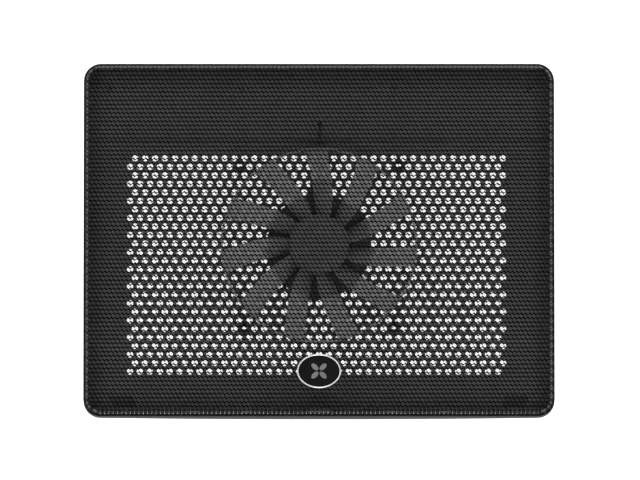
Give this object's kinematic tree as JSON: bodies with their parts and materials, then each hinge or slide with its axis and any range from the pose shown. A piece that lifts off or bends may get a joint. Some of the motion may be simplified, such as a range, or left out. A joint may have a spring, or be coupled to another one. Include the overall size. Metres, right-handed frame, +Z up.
{
  "type": "laptop cooling pad",
  "caption": "Flat sloping laptop cooling pad: black tray with an expanded-steel top, a large low fan, rear sockets and fold-out rear feet.",
  "frame": {"origin": "on the table, under the middle of the pad's bounding box", "axes": "+X to the user's right, +Y to the rear (away from the user), +Z up; the deck leans 4.2 degrees towards the user"},
  "size_m": [0.37, 0.2825, 0.0406],
  "materials": {
    "tray_plastic": "black ABS, fine moulded texture",
    "mesh_steel": "gloss black coating on expanded steel",
    "badge_black": "gloss black",
    "badge_silver": "satin silver plating",
    "smoke_plastic": "translucent smoke grey",
    "motor_plastic": "black nylon",
    "bronze": "sintered bronze",
    "steel": "bright steel",
    "screw_steel": "black oxide steel",
    "ferrite": "dark grey ferrite",
    "laminations": "stacked electrical steel",
    "copper_wire": "enamelled copper",
    "nylon": "natural nylon",
    "circuit_board": "green solder mask",
    "component_black": "moulded component bodies",
    "lead_insulation": "black insulation",
    "connector_plastic": "natural white nylon",
    "socket_steel": "tinned steel shell",
    "tongue_plastic": "black insulator",
    "slider_plastic": "black slider",
    "foot_plastic": "black ABS, fine moulded texture",
    "pad_rubber": "dark grey rubber"
  },
  "bodies": {
    "base": {"base_tray": "tray_plastic", "intake_grille": "tray_plastic", "mesh_support_posts": "pad_rubber", "mesh_panel": "mesh_steel", "badge_plate": "badge_black", "badge_rim": "badge_silver", "badge_symbol": "badge_silver", "motor_mount": "motor_plastic", "motor_mount_screws": "screw_steel", "sleeve_bearing": "bronze", "thrust_pad": "nylon", "motor_board": "circuit_board", "stator_core": "laminations", "stator_coils": "copper_wire", "fan_leads": "lead_insulation", "rear_cover": "tray_plastic", "cover_screws": "screw_steel", "control_board": "circuit_board", "board_screws": "screw_steel", "board_components": "component_black", "lead_connector": "connector_plastic", "usb_socket_shell": "socket_steel", "usb_socket_tongue": "tongue_plastic", "power_inlet_shell": "socket_steel", "power_inlet_tongue": "tongue_plastic", "switch_body": "component_black", "left_hinge_pin": "steel", "right_hinge_pin": "steel", "front_pads": "pad_rubber", "rear_pads": "pad_rubber"},
    "rotor": {"impeller": "smoke_plastic", "rotor_yoke": "steel", "rotor_magnet": "ferrite", "shaft": "steel", "retaining_clip": "nylon"},
    "left_fold": {"left_foot": "foot_plastic", "left_foot_tip": "pad_rubber"},
    "right_fold": {"right_foot": "foot_plastic", "right_foot_tip": "pad_rubber"},
    "slider": {"switch_slider": "slider_plastic"}
  },
  "joints": [
    {"name": "fan_spin", "type": "hinge", "parent": "base", "child": "rotor", "pos_m": [0, -0.00404, 0.02145], "axis": [0, -0.0732, 0.9973], "continuous": true},
    {"name": "left_foot_fold", "type": "hinge", "parent": "base", "child": "left_fold", "pos_m": [-0.125, 0.1326, 0.0054], "axis": [1, 0, 0], "range_deg": [0, 100]},
    {"name": "right_foot_fold", "type": "hinge", "parent": "base", "child": "right_fold", "pos_m": [0.125, 0.1326, 0.0054], "axis": [1, 0, 0], "range_deg": [0, 100]},
    {"name": "switch_slide", "type": "slide", "parent": "base", "child": "slider", "axis": [1, 0, 0], "range_m": [0, 0.0025]}
  ]
}
